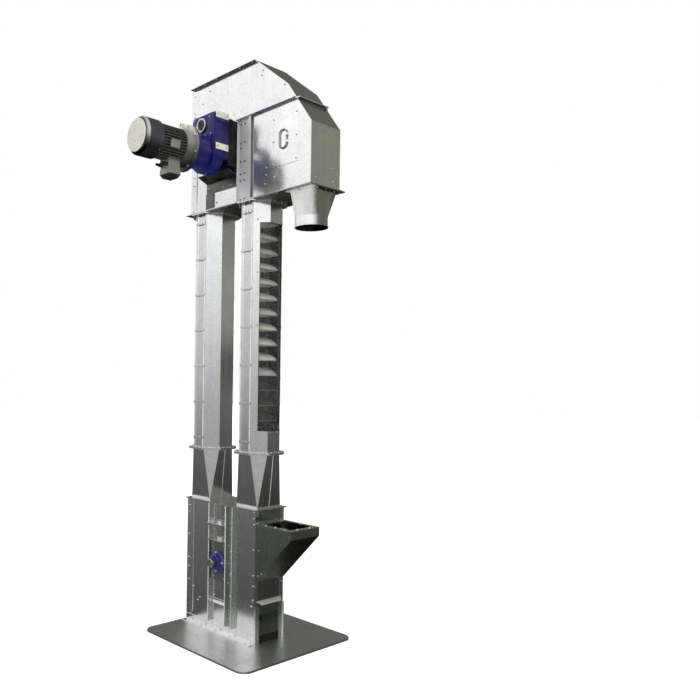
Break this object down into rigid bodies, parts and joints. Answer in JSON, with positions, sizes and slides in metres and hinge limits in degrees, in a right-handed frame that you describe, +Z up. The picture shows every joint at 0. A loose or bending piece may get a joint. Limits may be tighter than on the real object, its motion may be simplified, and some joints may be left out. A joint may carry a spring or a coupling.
{
  "type": "bucket elevator",
  "caption": "Twin-leg belt bucket elevator with boot, inlet hopper, windowed falling leg, drive head with gear motor and round discharge spout.",
  "frame": {"origin": "underside of the base plate, midway between the two legs, under the pulley axes", "axes": "+X from the rising leg to the discharge, +Y away from the drive side, +Z up"},
  "size_m": [1.123, 1.262, 3.525],
  "materials": {
    "galvanised_sheet": "bright zinc-coated folded sheet",
    "base_plate_paint": "dark satin coated plate",
    "clear_panel": "clear bent sheet",
    "belt_rubber": "matt",
    "bucket_plastic": "satin off-white",
    "gear_blue": "gloss deep blue on cast iron",
    "bearing_blue": "blue on cast iron",
    "motor_grey": "satin grey",
    "bright_steel": "turned steel",
    "lagging_rubber": "grooved",
    "stool_dark": "dark satin",
    "knob_black": "moulded",
    "fan_plastic": "moulded"
  },
  "bodies": {
    "casing": {"base_plate": "base_plate_paint", "boot_sides": "galvanised_sheet", "boot_tail_end": "galvanised_sheet", "boot_inlet_end": "galvanised_sheet", "boot_floor": "galvanised_sheet", "boot_top_plate": "galvanised_sheet", "foot_angles": "galvanised_sheet", "boot_posts": "galvanised_sheet", "cross_bars": "galvanised_sheet", "takeup_nuts": "bright_steel", "inlet_hopper": "galvanised_sheet", "inlet_rim": "galvanised_sheet", "gate_guides": "galvanised_sheet", "gate_hood": "galvanised_sheet", "leg_transitions": "galvanised_sheet", "rising_leg_inner": "galvanised_sheet", "rising_leg_outer": "galvanised_sheet", "falling_leg_inner": "galvanised_sheet", "falling_leg_outer": "galvanised_sheet", "leg_window": "clear_panel", "seam_clips": "galvanised_sheet", "head_floor": "galvanised_sheet", "head_sides": "galvanised_sheet", "hood_sides": "galvanised_sheet", "head_tail_ends": "galvanised_sheet", "hood_roof": "galvanised_sheet", "discharge_skin": "galvanised_sheet", "head_straps": "galvanised_sheet", "hatch_covers": "galvanised_sheet", "round_cover": "galvanised_sheet", "spout": "galvanised_sheet", "spout_collar": "galvanised_sheet", "bearing_plates": "galvanised_sheet", "head_bearings": "bearing_blue", "gear_stool": "stool_dark", "gear_housing": "gear_blue", "motor_adapter": "gear_blue", "motor_shield": "motor_grey", "motor_body": "motor_grey", "fan_cowl": "motor_grey", "terminal_box": "motor_grey", "cable_glands": "knob_black", "shelf_brackets": "galvanised_sheet", "belt": "belt_rubber", "buckets": "bucket_plastic"},
    "head_rotor": {"head_shaft": "bright_steel", "head_drum": "galvanised_sheet", "drum_lagging": "lagging_rubber", "output_sleeve": "bright_steel"},
    "motor_rotor": {"motor_shaft": "bright_steel", "cooling_fan": "fan_plastic"},
    "takeup_carriage": {"carriage_plates": "galvanised_sheet", "takeup_rods": "bright_steel", "boot_bearings": "bearing_blue"},
    "boot_rotor": {"boot_shaft": "bright_steel", "boot_pulley": "galvanised_sheet"},
    "gate": {"cleanout_gate": "galvanised_sheet", "gate_knob": "knob_black"},
    "near_handle": {"handle_near": "bright_steel"},
    "far_handle": {"handle_far": "bright_steel"}
  },
  "joints": [
    {"name": "head_shaft_spin", "type": "hinge", "parent": "casing", "child": "head_rotor", "pos_m": [0, 0, 3.157], "axis": [0, 1, 0], "continuous": true},
    {"name": "motor_rotor_spin", "type": "hinge", "parent": "casing", "child": "motor_rotor", "pos_m": [0, -0.6, 2.989], "axis": [0, 1, 0], "continuous": true},
    {"name": "takeup_slide", "type": "slide", "parent": "casing", "child": "takeup_carriage", "axis": [0, 0, 1], "range_m": [0, 0.06]},
    {"name": "boot_shaft_spin", "type": "hinge", "parent": "takeup_carriage", "child": "boot_rotor", "pos_m": [0, 0, 0.453], "axis": [0, 1, 0], "continuous": true},
    {"name": "cleanout_gate_lift", "type": "slide", "parent": "casing", "child": "gate", "axis": [0, 0, 1], "range_m": [0, 0.05]},
    {"name": "near_handle_fold", "type": "hinge", "parent": "casing", "child": "near_handle", "pos_m": [0.54667, -0.134, 2.99], "axis": [0, 0, 1], "range_deg": [0, 90]},
    {"name": "far_handle_fold", "type": "hinge", "parent": "casing", "child": "far_handle", "pos_m": [0.54667, 0.134, 2.99], "axis": [0, 0, -1], "range_deg": [0, 90]}
  ],
  "couplings": [
    {"joint": "motor_rotor_spin", "follows": "head_shaft_spin", "ratio": 16},
    {"joint": "boot_shaft_spin", "follows": "head_shaft_spin", "ratio": 1}
  ]
}
